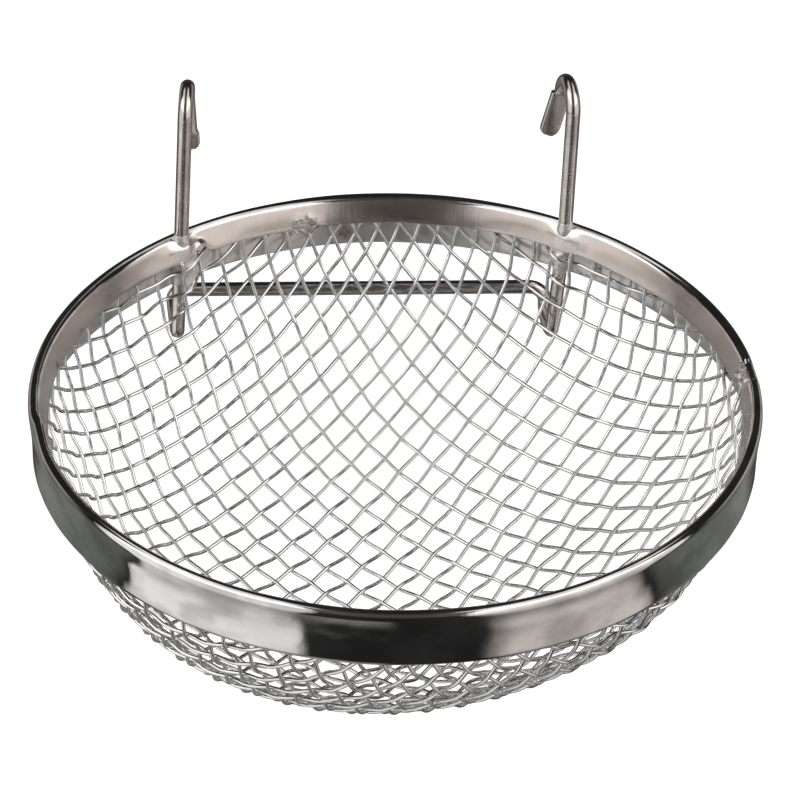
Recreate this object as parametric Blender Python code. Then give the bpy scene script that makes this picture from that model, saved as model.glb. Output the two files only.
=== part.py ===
"""Hanging nest pan for a bird cage: a woven wire bowl in a folded steel rim, with a bent wire hanger."""

import math

import bmesh
import bpy
from mathutils import Matrix, Vector

MM = 0.001

# Rim: one strip of sheet, folded over the edge of the wire cloth
RIM_RADIUS = 55.0 * MM
RIM_HEIGHT = 8.6 * MM
SHEET = 0.4 * MM
BEAD_WIDTH = 2.5 * MM
BEAD_RISE = 1.1 * MM
BEAD_OVERHANG = 0.4 * MM
BEAD_FLARE = 2.0 * MM
LIP_DROP = 2.9 * MM
LIP_LEAN = 1.1 * MM
RIM_SEGMENTS = 40
BEAD_STEP = 45

# Wire cloth: two families of crimped wires, pressed into half of a flattened ball
BOWL_DEPTH = 40.8 * MM
WEAVE_EDGE_DEPTH = 1.0 * MM
WIRE_COUNT = {"warp": 39, "weft": 33}
EDGE_STRIP = 4.4 * MM
WEAVE_ANGLE = math.radians(46.6)
CLOTH_WIRE_RADIUS = 0.36 * MM
WEAVE_GAP = 0.2 * MM
POCKET_GAP = 0.15 * MM
SHORTEST_TIP = 0.9 * MM
EDGE_WIRE_OVERLAP = 0.04 * MM
DENT_WIDTH = 2.5 * MM
DENT_STEPS = 2
TRIM_STEPS = 16
FUSED_WIRE_COUNT = 4
CURVE_STEPS = 360
SOLVER_STEPS = 10

# Hanger: one bent wire with two hooks, two lower bends and a crossbar
HANGER_WIRE_RADIUS = 1.0 * MM
UPRIGHT_SPACING = 60.0 * MM
UPRIGHT_GAP = 0.25 * MM
HOOK_RISE = 25.7 * MM
HOOK_INSIDE = 5.0 * MM
HOOK_TIP_RISE = 13.8 * MM
HOOK_TOE = {"left": math.radians(8.0), "right": math.radians(27.0)}
PADDLE_LENGTH = {"left": 5.0 * MM, "right": 9.0 * MM}
PADDLE_TAPER = 1.0 * MM
PADDLE_HALF_WIDTH = 1.35 * MM
PADDLE_HALF_THICKNESS = 0.65 * MM
CROSSBAR_DEPTH = 15.5 * MM
CROSSBAR_GAP = 0.25 * MM
CROSSBAR_BEND_RADIUS = 1.9 * MM
LOWER_BEND_DROP = 3.0 * MM
HANGER_SIDES = 8
ARC_STEP = math.radians(22.5)

# Solder where each upright passes through the rim
SOLDER_RADIUS = 1.8 * MM
SOLDER_HEIGHT = 1.1 * MM
SOLDER_GAP = 0.12 * MM
SOLDER_EDGE = 0.28 * MM
SOLDER_SEGMENTS = 10

# Shading and merging
SHARP_ANGLE = math.radians(50)
MERGE_DISTANCE = 0.01 * MM
MITRE_LIMIT = 2.0

# Places that follow from the sizes above; the rim's axis is at x = y = 0, with z = 0 at the bead's widest
BEAD_CENTRE = RIM_RADIUS - BEAD_WIDTH / 2
WALL_OUTER = RIM_RADIUS - BEAD_OVERHANG
WALL_INNER = WALL_OUTER - SHEET
WALL_BOTTOM = BEAD_RISE - RIM_HEIGHT
# A three-sided wire is one and a half radii deep, from its flat side to its far edge
WEAVE_RISE = (1.5 * CLOTH_WIRE_RADIUS + WEAVE_GAP) / 2
CLOTH_HALF = WEAVE_RISE + CLOTH_WIRE_RADIUS
CLOTH_EDGE_RADIUS = WALL_INNER - POCKET_GAP - CLOTH_HALF
# A family's wires are numbered from its middle one, and they share the bowl's curve between the edge strips
CROSSES = {"warp": "weft", "weft": "warp"}
LAST_WIRE = {family: count // 2 for family, count in WIRE_COUNT.items()}
UPRIGHT_X = UPRIGHT_SPACING / 2
UPRIGHT_RING = WALL_INNER - UPRIGHT_GAP - HANGER_WIRE_RADIUS
UPRIGHT_Y = math.sqrt(UPRIGHT_RING**2 - UPRIGHT_X**2)
HOOK_RADIUS = HOOK_INSIDE / 2 + HANGER_WIRE_RADIUS
# The crossbar lies against the outside of the cloth, and the lower bends reach from the uprights to it
CROSSBAR_SINK = (CROSSBAR_DEPTH - WEAVE_EDGE_DEPTH) / BOWL_DEPTH
CLOTH_BY_CROSSBAR = CLOTH_EDGE_RADIUS * math.sqrt(1 - CROSSBAR_SINK**2)
CLOTH_SLOPE = CLOTH_EDGE_RADIUS**2 * CROSSBAR_SINK / (BOWL_DEPTH * CLOTH_BY_CROSSBAR)
CROSSBAR_REACH = CLOTH_HALF + CROSSBAR_GAP + HANGER_WIRE_RADIUS
CROSSBAR_Y = CLOTH_BY_CROSSBAR + CROSSBAR_REACH * math.hypot(1, CLOTH_SLOPE)
LOWER_BEND_REACH = (CROSSBAR_Y - UPRIGHT_Y) / 2
SIDES = {"left": -1, "right": 1}
# The cage bar lies under both hook arches, and the part's origin is midway along it
HANG_POINT = Vector((0, UPRIGHT_Y + HOOK_RADIUS, HOOK_RISE - HANGER_WIRE_RADIUS))


def clear_scene():
    for obj in list(bpy.data.objects):
        bpy.data.objects.remove(obj)


def metal(name, colour, roughness):
    made = bpy.data.materials.new(name)
    made.use_nodes = True
    shader = made.node_tree.nodes["Principled BSDF"]
    shader.inputs["Base Color"].default_value = (*colour, 1)
    shader.inputs["Metallic"].default_value = 1
    shader.inputs["Roughness"].default_value = roughness
    return made


def new_object(name, mesh, material, frame):
    obj = bpy.data.objects.new(name, mesh)
    mesh.materials.append(material)
    mesh.shade_smooth()
    mesh.set_sharp_from_angle(angle=SHARP_ANGLE)
    obj.parent = frame
    bpy.context.scene.collection.objects.link(obj)
    return obj


def as_helper(obj):
    obj.hide_render = True
    obj.display_type = "WIRE"


def loft(name, rings, closed=False):
    """A closed mesh through rings of points, each counter-clockwise as seen from the end it runs towards."""
    form = bmesh.new()
    loops = [[form.verts.new(point) for point in ring] for ring in rings]
    pairs = list(zip(loops, loops[1:]))
    if closed:
        pairs.append((loops[-1], loops[0]))
    for near, far in pairs:
        for k, vert in enumerate(near):
            after = (k + 1) % len(near)
            form.faces.new((vert, near[after], far[after], far[k]))
    if not closed:
        form.faces.new(reversed(loops[0]))
        form.faces.new(loops[-1])
    mesh = bpy.data.meshes.new(name)
    form.to_mesh(mesh)
    form.free()
    return mesh


def cut_or_join(obj, other, operation):
    modifier = obj.modifiers.new(other.name, "BOOLEAN")
    modifier.operation = operation
    modifier.solver = "EXACT"
    modifier.object = other


# Rim band


def rim_centre_line():
    """Radius and height along the middle of the sheet, from the wall's foot over the bead to the lip."""
    wall = WALL_OUTER - SHEET / 2
    half_width = (BEAD_WIDTH - SHEET) / 2
    rise = BEAD_RISE - SHEET / 2
    line = [Vector((wall, WALL_BOTTOM)), Vector((wall, -BEAD_FLARE))]
    for turn in range(0, 180 + BEAD_STEP, BEAD_STEP):
        angle = math.radians(turn)
        line.append(Vector((BEAD_CENTRE + half_width * math.cos(angle), rise * math.sin(angle))))
    line.append(Vector((BEAD_CENTRE - half_width - LIP_LEAN, -LIP_DROP)))
    return line


def thicken(line, thickness):
    """The outline of a strip along the line: out on its left side and back on its right."""
    left = []
    right = []
    for k, point in enumerate(line):
        before = (point - line[k - 1]).normalized() if k else None
        after = (line[k + 1] - point).normalized() if k + 1 < len(line) else before
        before = before or after
        along = (before + after).normalized()
        across = Vector((-along.y, along.x))
        half = thickness / 2 / max(across.dot(Vector((-before.y, before.x))), 1 / MITRE_LIMIT)
        left.append(point + across * half)
        right.append(point - across * half)
    return left + right[::-1]


def make_rim(material, frame):
    outline = thicken(rim_centre_line(), SHEET)
    # The strip runs up its outer side, so the outline is turned round to run down it
    profile = [Vector((point.x, 0, point.y)) for point in reversed(outline)]
    mesh = bpy.data.meshes.new("rim_band")
    edges = [(k, (k + 1) % len(profile)) for k in range(len(profile))]
    mesh.from_pydata(profile, edges, [])
    rim = new_object("rim_band", mesh, material, frame)
    turn = rim.modifiers.new("turn", "SCREW")
    turn.steps = RIM_SEGMENTS
    turn.render_steps = RIM_SEGMENTS
    turn.use_merge_vertices = True
    turn.merge_threshold = MERGE_DISTANCE
    for side, sign in SIDES.items():
        cut_or_join(rim, notch_cutter(side, sign, material, frame), "DIFFERENCE")


def notch_cutter(side, sign, material, frame):
    """A block that opens the bead and the lip, but not the wall, where an upright passes through."""
    half = HANGER_WIRE_RADIUS + UPRIGHT_GAP
    inwards = HANGER_WIRE_RADIUS + BEAD_WIDTH
    above = 2 * BEAD_RISE
    below = LIP_DROP + 2 * SHEET
    ring = [(-half, -inwards), (half, -inwards), (half, half), (-half, half)]
    rings = [[Vector((x, y, z)) for x, y in ring] for z in (-below, above)]
    cutter = new_object(f"notch_{side}", loft(f"notch_{side}", rings), material, frame)
    cutter.location = (sign * UPRIGHT_X, UPRIGHT_Y, 0)
    cutter.rotation_euler.z = -math.atan2(sign * UPRIGHT_X, UPRIGHT_Y)
    as_helper(cutter)
    return cutter


# Wire cloth


def bowl_share(point):
    """How far outside the cloth's middle surface a point is, as a share, and how steeply that grows."""
    depth = max(0, -WEAVE_EDGE_DEPTH - point.z)
    out = Vector((point.x, point.y, 0)) / CLOTH_EDGE_RADIUS
    share = out.length_squared + (depth / BOWL_DEPTH) ** 2 - 1
    return share, 2 * out / CLOTH_EDGE_RADIUS - Vector((0, 0, 2 * depth / BOWL_DEPTH**2))


def outwards(point):
    return bowl_share(point)[1].normalized()


def on_cloth(point):
    """The point moved straight onto the cloth's middle surface."""
    for _ in range(SOLVER_STEPS):
        share, steep = bowl_share(point)
        point = point - steep * share / steep.length_squared
    return point


def bowl_curve():
    """The bowl's curve from its bottom to its edge, as (length from the bottom, radius, height)."""
    curve = [(0, 0, -WEAVE_EDGE_DEPTH - BOWL_DEPTH)]
    for k in range(1, CURVE_STEPS + 1):
        turn = math.pi / 2 * k / CURVE_STEPS
        radius = CLOTH_EDGE_RADIUS * math.sin(turn)
        height = -WEAVE_EDGE_DEPTH - BOWL_DEPTH * math.cos(turn)
        length, last_radius, last_height = curve[-1]
        curve.append((length + math.hypot(radius - last_radius, height - last_height), radius, height))
    return curve


def along_curve(curve, length):
    """Radius and height at a length along the curve, which runs straight up beyond its edge."""
    for (start, radius, height), (end, end_radius, end_height) in zip(curve, curve[1:]):
        if length <= end:
            share = (length - start) / (end - start)
            return radius + (end_radius - radius) * share, height + (end_height - height) * share
    return end_radius, end_height + length - end


def far_corner(warp_neighbour, weft_neighbour, shared, pitch):
    """The crossing that closes a cell: one pitch from each neighbour, on the far side of the shared one."""
    corner = warp_neighbour + weft_neighbour - shared
    scale = CLOTH_EDGE_RADIUS**2
    for _ in range(SOLVER_STEPS):
        share, steep = bowl_share(corner)
        to_warp = corner - warp_neighbour
        to_weft = corner - weft_neighbour
        slopes = Matrix((2 * to_warp, 2 * to_weft, steep * scale))
        warp_miss = to_warp.length_squared - pitch["warp"] ** 2
        weft_miss = to_weft.length_squared - pitch["weft"] ** 2
        misses = Vector((warp_miss, weft_miss, share * scale))
        corner = corner - slopes.inverted_safe() @ misses
    closed = misses.length < MERGE_DISTANCE * pitch["weft"]
    return corner if closed and (corner - shared).length > MERGE_DISTANCE else None


def weave_crossings():
    """Where the wires cross on the cloth's middle surface: {(i, j): point}, with (0, 0) at the bottom."""
    along = {"warp": Vector((math.cos(WEAVE_ANGLE), math.sin(WEAVE_ANGLE), 0))}
    along["weft"] = Vector((-math.sin(WEAVE_ANGLE), math.cos(WEAVE_ANGLE), 0))
    reach = {family: LAST_WIRE[other] + 1 for family, other in CROSSES.items()}
    curve = bowl_curve()
    woven = curve[-1][0] - EDGE_STRIP
    pitch = {family: woven / LAST_WIRE[other] for family, other in CROSSES.items()}
    found = {}
    for family, direction in along.items():
        for k in range(-reach[family], reach[family] + 1):
            radius, height = along_curve(curve, abs(k) * pitch[family])
            place = direction * math.copysign(radius, k) + Vector((0, 0, height))
            found[(k, 0) if family == "warp" else (0, k)] = place
    for i_sign in (1, -1):
        for j_sign in (1, -1):
            for i in range(1, reach["warp"] + 1):
                for j in range(1, reach["weft"] + 1):
                    a = found.get((i_sign * (i - 1), j_sign * j))
                    b = found.get((i_sign * i, j_sign * (j - 1)))
                    if a is None or b is None:
                        continue
                    shared = found[i_sign * (i - 1), j_sign * (j - 1)]
                    corner = far_corner(a, b, shared, pitch)
                    if corner is not None:
                        found[i_sign * i, j_sign * j] = corner
    return found


def beside_upright(point, sign):
    """How far a point lies sideways of an upright, how far out towards it, and the direction outwards."""
    towards = Vector((sign * UPRIGHT_X, UPRIGHT_Y, 0)) / UPRIGHT_RING
    return abs(towards.x * point.y - towards.y * point.x), towards.dot(point), towards


def dented(point):
    """The point pushed inwards where an upright stands behind the cloth, alike on both sides of the cloth."""
    in_front = UPRIGHT_RING - HANGER_WIRE_RADIUS - WEAVE_GAP - CLOTH_HALF
    middle = on_cloth(point)
    push = max(0, math.hypot(middle.x, middle.y) - in_front)
    for sign in SIDES.values():
        sideways, out, towards = beside_upright(middle, sign)
        if out > 0:
            point = point - towards * push * math.exp(-((sideways / DENT_WIDTH) ** 2))
    return point


def is_dented(point):
    return (dented(point) - point).length > POCKET_GAP / 2


def is_clear(point):
    """Whether a cloth wire may reach this point: in the rim's fold, or below the lip beside an upright."""
    if is_dented(point):
        return point.z < -LIP_DROP - SHEET - CLOTH_WIRE_RADIUS
    return point.z < -WEAVE_EDGE_DEPTH


def clear_stretch(inside, outside):
    """The last clear point on the straight way between two points, and whether all of the way is clear."""
    reached = inside
    for k in range(1, TRIM_STEPS + 1):
        point = inside.lerp(outside, k / TRIM_STEPS)
        if not is_clear(point):
            return reached, False
        reached = point
    return reached, True


def wire_paths(crossings):
    """Each wire as {(family, number): [(point, crossing number or None), ...]}, over and under by turns."""
    paths = {}
    for family in CROSSES:
        over = 1 if family == "warp" else -1
        for number in range(-LAST_WIRE[family], LAST_WIRE[family] + 1):
            lane = {}
            for (i, j), place in crossings.items():
                if (j if family == "warp" else i) != number:
                    continue
                side = over if (i + j) % 2 == 0 else -over
                lane[i if family == "warp" else j] = place - outwards(place) * side * WEAVE_RISE
            paths[family, number] = bent_in(wire_path(lane))
    return paths


def wire_path(lane):
    """The clear stretch of a wire round its middle crossing."""
    path = [(lane[0], 0)]
    for direction in (1, -1):
        k = direction
        whole = True
        while whole and k in lane:
            start = lane[k - direction]
            end, whole = clear_stretch(start, lane[k])
            if whole or (end - start).length > SHORTEST_TIP:
                path.append((end, k if whole else None))
            k += direction
        path.reverse()
    return path


def bent_in(path):
    """The path bent round the uprights, with more points where it bends."""
    bent = []
    for (point, number), (after, _) in zip(path, path[1:]):
        bent.append((dented(point), number))
        if is_dented(point) or is_dented(after):
            for k in range(1, DENT_STEPS):
                bent.append((dented(point.lerp(after, k / DENT_STEPS)), None))
    bent.append((dented(path[-1][0]), path[-1][1]))
    return bent


def wire_rings(points):
    """Three-sided rings along a cloth wire, each with its flat side turned out of the bowl."""
    rings = []
    for k, point in enumerate(points):
        before = points[max(k - 1, 0)]
        after = points[min(k + 1, len(points) - 1)]
        along = (after - before).normalized()
        side = along.cross(outwards(point)).normalized()
        inwards = along.cross(side)
        ring = []
        for corner in range(3):
            angle = math.pi / 2 + corner * math.tau / 3
            ring.append(point + (side * math.cos(angle) + inwards * math.sin(angle)) * CLOTH_WIRE_RADIUS)
        rings.append(ring)
    return rings


def make_cloth(material, frame):
    """Most wires are their own solids; the outermost of each family are fused to wires that they cross."""
    paths = wire_paths(weave_crossings())
    wires = {}
    for family in CROSSES:
        last = LAST_WIRE[family] - FUSED_WIRE_COUNT
        for number in range(-last, last + 1):
            name = f"{family}_wire_{number + last + 1:02d}"
            points = [point for point, _ in paths[family, number]]
            wires[family, number] = new_object(name, loft(name, wire_rings(points)), material, frame)
    for (family, number), path in paths.items():
        if (family, number) not in wires:
            seat = edge_wire_seat(family, number, paths, wires)
            carrier = CROSSES[family], seat
            fuse_edge_wire(wires[carrier], path, paths[carrier], number, seat, material, frame)


def edge_wire_seat(family, number, paths, wires):
    """The wire that carries an edge wire: of those that it crosses, one that carries the fewest so far."""
    other = CROSSES[family]
    seats = [k for _, k in paths[family, number] if (other, k) in wires]
    met = [k for k in seats if number in [crossed for _, crossed in paths[other, k]]]
    return min(met, key=lambda k: (len(wires[other, k].modifiers), abs(k)))


def fuse_edge_wire(carrier, path, carrier_path, number, seat, material, frame):
    """Presses a short wire against the wire that carries it at one crossing, and joins them there."""
    contact = next(point for point, k in carrier_path if k == number)
    points = []
    for point, k in path:
        if k == seat:
            point = point + (contact - point).normalized() * (WEAVE_GAP + EDGE_WIRE_OVERLAP)
        points.append(point)
    name = f"edge_{carrier.name}_{number}"
    helper = new_object(name, loft(name, wire_rings(points)), material, frame)
    as_helper(helper)
    cut_or_join(carrier, helper, "UNION")


# Hanger


def arc(centre, start, finish, sweep, whole=True):
    """Points round a centre from one arm to another, at the arc step; the last is left out unless whole."""
    count = max(2, round(sweep / ARC_STEP))
    points = []
    for k in range(count + 1 if whole else count):
        angle = sweep * k / count
        points.append(centre + start * math.cos(angle) + finish * math.sin(angle))
    return points


def hanger_half(side):
    """One half of the hanger's centre line, from the middle of the crossbar to the hook's tip."""
    sign = SIDES[side]
    up = Vector((0, 0, 1))
    outwards = Vector((sign, 0, 0))
    rear = Vector((0, 1, 0))
    upright = Vector((sign * UPRIGHT_X, UPRIGHT_Y, 0))
    bend_z = -CROSSBAR_DEPTH - CROSSBAR_BEND_RADIUS
    corner = Vector((sign * (UPRIGHT_X - CROSSBAR_BEND_RADIUS), CROSSBAR_Y, bend_z))
    line = [Vector((0, CROSSBAR_Y, -CROSSBAR_DEPTH))]
    line += arc(corner, up * CROSSBAR_BEND_RADIUS, outwards * CROSSBAR_BEND_RADIUS, math.pi / 2, whole=False)
    bend = upright + rear * LOWER_BEND_REACH + up * bend_z
    line += arc(bend, rear * LOWER_BEND_REACH, up * -LOWER_BEND_DROP, math.pi)
    toe = Matrix.Rotation(sign * HOOK_TOE[side], 3, "Z") @ rear
    arch = upright + toe * HOOK_RADIUS + up * (HOOK_RISE - HOOK_RADIUS)
    line += arc(arch, toe * -HOOK_RADIUS, up * HOOK_RADIUS, math.pi)
    return line, upright + toe * 2 * HOOK_RADIUS, toe


def paddle_sections(side):
    """Height above the hook's tip, half width and half thickness along the flattened end."""
    length = PADDLE_LENGTH[side]
    sections = [(length, HANGER_WIRE_RADIUS, HANGER_WIRE_RADIUS)]
    sections.append((length - PADDLE_TAPER, PADDLE_HALF_WIDTH, PADDLE_HALF_THICKNESS))
    for turn in (0, 35, 70):
        angle = math.radians(turn)
        height = PADDLE_HALF_WIDTH * (1 - math.sin(angle))
        sections.append((height, PADDLE_HALF_WIDTH * math.cos(angle), PADDLE_HALF_THICKNESS))
    return sections


def round_rings(line, first_side):
    """Round rings along the line, kept from twisting, with a flat facing each way across the first side."""
    side = first_side
    rings = []
    for k, point in enumerate(line):
        before = line[max(k - 1, 0)]
        after = line[min(k + 1, len(line) - 1)]
        along = (after - before).normalized()
        side = (side - along * side.dot(along)).normalized()
        across = along.cross(side)
        ring = []
        for corner in range(HANGER_SIDES):
            angle = (corner + 0.5) * math.tau / HANGER_SIDES
            ring.append(point + (side * math.cos(angle) + across * math.sin(angle)) * HANGER_WIRE_RADIUS)
        rings.append(ring)
    return rings, side, along


def hanger_half_rings(side):
    line, leg, toe = hanger_half(side)
    rings, last_side, along = round_rings(line, Vector((0, 1, 0)))
    wide = along.cross(toe)
    across = along.cross(last_side)
    for height, half_width, half_thickness in paddle_sections(side):
        centre = leg + Vector((0, 0, HOOK_TIP_RISE + height))
        ring = []
        for corner in range(HANGER_SIDES):
            angle = (corner + 0.5) * math.tau / HANGER_SIDES
            spoke = last_side * math.cos(angle) + across * math.sin(angle)
            ring.append(centre + wide * spoke.dot(wide) * half_width + toe * spoke.dot(toe) * half_thickness)
        rings.append(ring)
    return rings


def make_hanger(material, frame):
    left = hanger_half_rings("left")
    right = hanger_half_rings("right")
    # Both halves start at the crossbar's middle: the left one is walked backwards, in the right one's order
    turned = [[ring[HANGER_SIDES - 1 - k] for k in range(HANGER_SIDES)] for ring in reversed(left[1:])]
    new_object("hanger_wire", loft("hanger_wire", turned + right), material, frame)


# Solder


def bead_top_at(radius):
    """Height of the bead's outer surface, held to its crown beside the bead."""
    share = (radius - BEAD_CENTRE) / (BEAD_WIDTH / 2)
    shoulder = 1 - SHEET / BEAD_WIDTH
    share = max(-shoulder, min(shoulder, share))
    return BEAD_RISE * math.sqrt(1 - share**2)


def make_solder(side, material, frame):
    """A fillet of solder round an upright, lying on the bead."""
    sign = SIDES[side]
    inner = HANGER_WIRE_RADIUS + SOLDER_GAP
    profile = [(inner, 0), (SOLDER_RADIUS, 0)]
    for turn in range(0, 91, 30):
        hollow = math.radians(turn)
        reach = SOLDER_RADIUS - (SOLDER_RADIUS - inner) * math.sin(hollow)
        profile.append((reach, 1 - (1 - SOLDER_EDGE / SOLDER_HEIGHT) * math.cos(hollow)))
    rings = []
    for k in range(SOLDER_SEGMENTS):
        angle = math.tau * k / SOLDER_SEGMENTS
        ring = []
        for reach, share in profile:
            x = sign * UPRIGHT_X + reach * math.sin(angle)
            y = UPRIGHT_Y + reach * math.cos(angle)
            bead = bead_top_at(math.hypot(x, y)) + SOLDER_GAP
            ring.append(Vector((x, y, bead + share * (BEAD_RISE + SOLDER_HEIGHT - bead))))
        rings.append(ring)
    name = f"solder_{side}"
    new_object(name, loft(name, rings, closed=True), material, frame)


def main():
    clear_scene()
    frame = bpy.data.objects.new("pan_frame", None)
    frame.location = -HANG_POINT
    bpy.context.scene.collection.objects.link(frame)
    plated = metal("plated_sheet", (0.72, 0.71, 0.69), 0.14)
    bright = metal("plated_wire", (0.66, 0.65, 0.64), 0.18)
    cloth = metal("cloth_wire", (0.62, 0.61, 0.60), 0.28)
    tin = metal("solder", (0.60, 0.57, 0.53), 0.35)
    make_rim(plated, frame)
    make_cloth(cloth, frame)
    make_hanger(bright, frame)
    for side in SIDES:
        make_solder(side, tin, frame)
    bpy.context.view_layer.update()


main()
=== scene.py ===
"""Looks of the hanging nest pan.

Round woven wires, the folded rim, the bent hanger, the solder, the studio and the camera.
"""

import math

import bpy
import numpy as np
from mathutils import Matrix, Vector, noise


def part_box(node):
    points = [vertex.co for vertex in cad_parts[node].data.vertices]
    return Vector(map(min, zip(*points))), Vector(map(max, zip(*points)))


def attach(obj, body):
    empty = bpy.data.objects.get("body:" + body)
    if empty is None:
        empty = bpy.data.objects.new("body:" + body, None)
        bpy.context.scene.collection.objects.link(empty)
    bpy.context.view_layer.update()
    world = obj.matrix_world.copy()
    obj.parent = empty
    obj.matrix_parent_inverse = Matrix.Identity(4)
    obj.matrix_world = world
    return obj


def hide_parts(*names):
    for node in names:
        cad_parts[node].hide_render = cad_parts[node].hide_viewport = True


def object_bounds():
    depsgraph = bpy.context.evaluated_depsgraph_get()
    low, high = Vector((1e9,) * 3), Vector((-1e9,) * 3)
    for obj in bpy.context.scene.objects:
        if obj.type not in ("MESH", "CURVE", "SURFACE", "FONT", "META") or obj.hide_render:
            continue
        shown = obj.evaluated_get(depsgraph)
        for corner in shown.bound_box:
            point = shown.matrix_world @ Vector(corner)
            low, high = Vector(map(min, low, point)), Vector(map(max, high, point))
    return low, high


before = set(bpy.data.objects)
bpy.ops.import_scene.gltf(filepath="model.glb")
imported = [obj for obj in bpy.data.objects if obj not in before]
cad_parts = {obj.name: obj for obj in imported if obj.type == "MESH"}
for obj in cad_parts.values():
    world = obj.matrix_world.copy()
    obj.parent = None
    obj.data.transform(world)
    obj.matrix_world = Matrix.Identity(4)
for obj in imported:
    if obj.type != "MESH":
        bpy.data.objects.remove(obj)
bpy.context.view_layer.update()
MM = 0.001
# How far apart the noise of two seeds is read, in wavelengths
SEED_STEP = 17.3
# A length to divide by in place of zero
TINY = 1e-6

# Rim: heights are measured from the solid bead's widest, radii from the rim's axis
RIM_RADIUS = 55.0 * MM
SHEET = 0.4 * MM
# The solid strip's bead fixes height zero, and its overhang the wall's place
BEAD_RISE = 1.1 * MM
BEAD_OVERHANG = 0.4 * MM
# The fold: a rounded outer corner, a crest, and a lip that slopes inwards and curls back
CREST_RISE = 1.45 * MM
CORNER_WIDTH = 0.8 * MM
CORNER_HEIGHT = 1.0 * MM
FOLD_RADIUS = 1.1 * MM
LIP_DROP = 2.85 * MM
LIP_SLOPE = math.radians(69)
LIP_CURL = 0.13
WALL_BOTTOM = -7.95 * MM
WALL_FLARE = 2.2
RIM_SEGMENTS = 840
WALL_ROWS = 22
CORNER_STEP_DEGREES = 10
FOLD_ROWS = 14
LIP_ROWS = 8
END_ANGLES = np.radians((45, 90, 135))
WALL, BEAD, LIP = 0, 1, 2

# Wire cloth
BOWL_DEPTH = 40.8 * MM
BOWL_LEAN = 4.3 * MM
BOWL_LEAN_DEPTHS = (0.4 * BOWL_DEPTH, 0.9 * BOWL_DEPTH)
CLOTH_EDGE_RADIUS = 53.32 * MM
WEAVE_EDGE_DEPTH = 1.0 * MM
WIRE_COUNT = {"warp": 39, "weft": 33}
EDGE_STRIP = 4.4 * MM
WEAVE_ANGLE = math.radians(46.6)
FUSED_WIRE_COUNT = 4
WIRE_RADIUS = 0.295 * MM
WIRE_SIDES = 10
CRIMP = {"warp": 0.4 * MM, "weft": 0.18 * MM}
CRIMP_STEPS = 8
WANDER = {22 * MM: 0.35 * MM, 6 * MM: 0.1 * MM}
WANDER_SEED = 10
DENT_WIDTH = 2.5 * MM
DENT_GAP = 0.1 * MM
DENT_START = 0.1 * MM
WIRE_END_DEPTH = 0.9 * MM
WIRE_END_DEPTH_BY_UPRIGHT = 2.3 * MM
# The fold pinches the wires against the wall and takes most of their crimp
PINCH = 0.3 * MM
PINCH_HEIGHTS = (-3.5 * MM, -1.5 * MM)
PINCHED_CRIMP = 0.7

# Hanger: it leans to the right as it rises, and no two of its bends are quite alike
HANGER_RADIUS = 1.14 * MM
UPRIGHT_X = {"left": -31.5 * MM, "right": 29.4 * MM}
UPRIGHT_Y = {"left": 42.85 * MM, "right": 44.45 * MM}
LEAN_ABOVE_RIM = {"left": math.radians(2.1), "right": math.radians(1.1)}
LEAN_BELOW_RIM = {"left": math.radians(2.6), "right": math.radians(4.2)}
HOOK_BASE = 1.0 * MM
HOOK_RISE = {"left": 26.2 * MM, "right": 25.4 * MM}
HOOK_RADIUS = 3.5 * MM
HOOK_TIP_RISE = {"left": 13.1 * MM, "right": 13.8 * MM}
HOOK_TOE = {"left": math.radians(4.7), "right": math.radians(10.0)}
LEG_SPREAD = {"left": 0.85 * MM, "right": 1.75 * MM}
PADDLE_LENGTH = {"left": 3.8 * MM, "right": 9.2 * MM}
PADDLE_HALF_WIDTH = {"left": 1.4 * MM, "right": 1.7 * MM}
PADDLE_TAPER = 1.0 * MM
PADDLE_HALF_THICKNESS = 0.55 * MM
PADDLE_END_SHARE = 0.02
CROSSBAR_DEPTH = {"left": 14.95 * MM, "right": 15.5 * MM}
CROSSBAR_Y = 52.05 * MM
CROSSBAR_BEND_RADIUS = {"left": 1.7 * MM, "right": 3.1 * MM}
LOOP_SKEW = 0.55 * MM
LOWER_BEND_DROP = {"left": 0.6 * MM, "right": 1.2 * MM}
HANGER_SIDES = 28
TURN_STEPS = 10
BEND_STEPS = 24
ARCH_STEPS = 26
ROD_STEP = 1.0 * MM
LEG_STEP = 0.1 * MM
ROD_WEAR = 0.004 * MM
ROD_WEAR_WAVELENGTH = 5 * MM
ROD_WEAR_SEED = 30

# Camera and studio
VIEW_AZIMUTH = math.radians(-3.87)
VIEW_ELEVATION = math.radians(35.205)
VIEW_ROLL = math.radians(1.216)
VIEW_DISTANCE = 0.650
VIEW_LENS = 194.97
VIEW_SENSOR = 36
VIEW_SHIFT = (0.00556, -0.00465)
VIEW_NEAR = 0.01
FLOOR_BELOW = 0.12
FLOOR_REACH = 4.0
FLOOR_GLOW = 0.72
PAPER = (0.9, 0.9, 0.9, 1)
PAPER_ROUGHNESS = 0.9
WHITE = (1, 1, 1, 1)

# Places that follow
WALL_MIDDLE = RIM_RADIUS - BEAD_OVERHANG - SHEET / 2
CREST = RIM_RADIUS - CORNER_WIDTH
SIDES = {"left": -1, "right": 1}
UPRIGHT_RING = {side: math.hypot(UPRIGHT_X[side], UPRIGHT_Y[side]) for side in SIDES}
RIM_LOW, RIM_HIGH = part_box("rim_band")
RIM_ORIGIN = Vector((
    (RIM_LOW.x + RIM_HIGH.x) / 2, (RIM_LOW.y + RIM_HIGH.y) / 2, RIM_HIGH.z - BEAD_RISE,
))


def smooth_step(value, low, high):
    share = np.clip((value - low) / (high - low), 0, 1)
    return share * share * (3 - 2 * share)


def noise_at(points, wavelength, seed=0):
    """Smooth noise from -1 to 1 at each point of an array that ends in x, y, z."""
    flat = np.asarray(points).reshape(-1, 3) / wavelength + seed * SEED_STEP
    return np.array([noise.noise(Vector(point)) for point in flat]).reshape(np.shape(points)[:-1])


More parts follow.
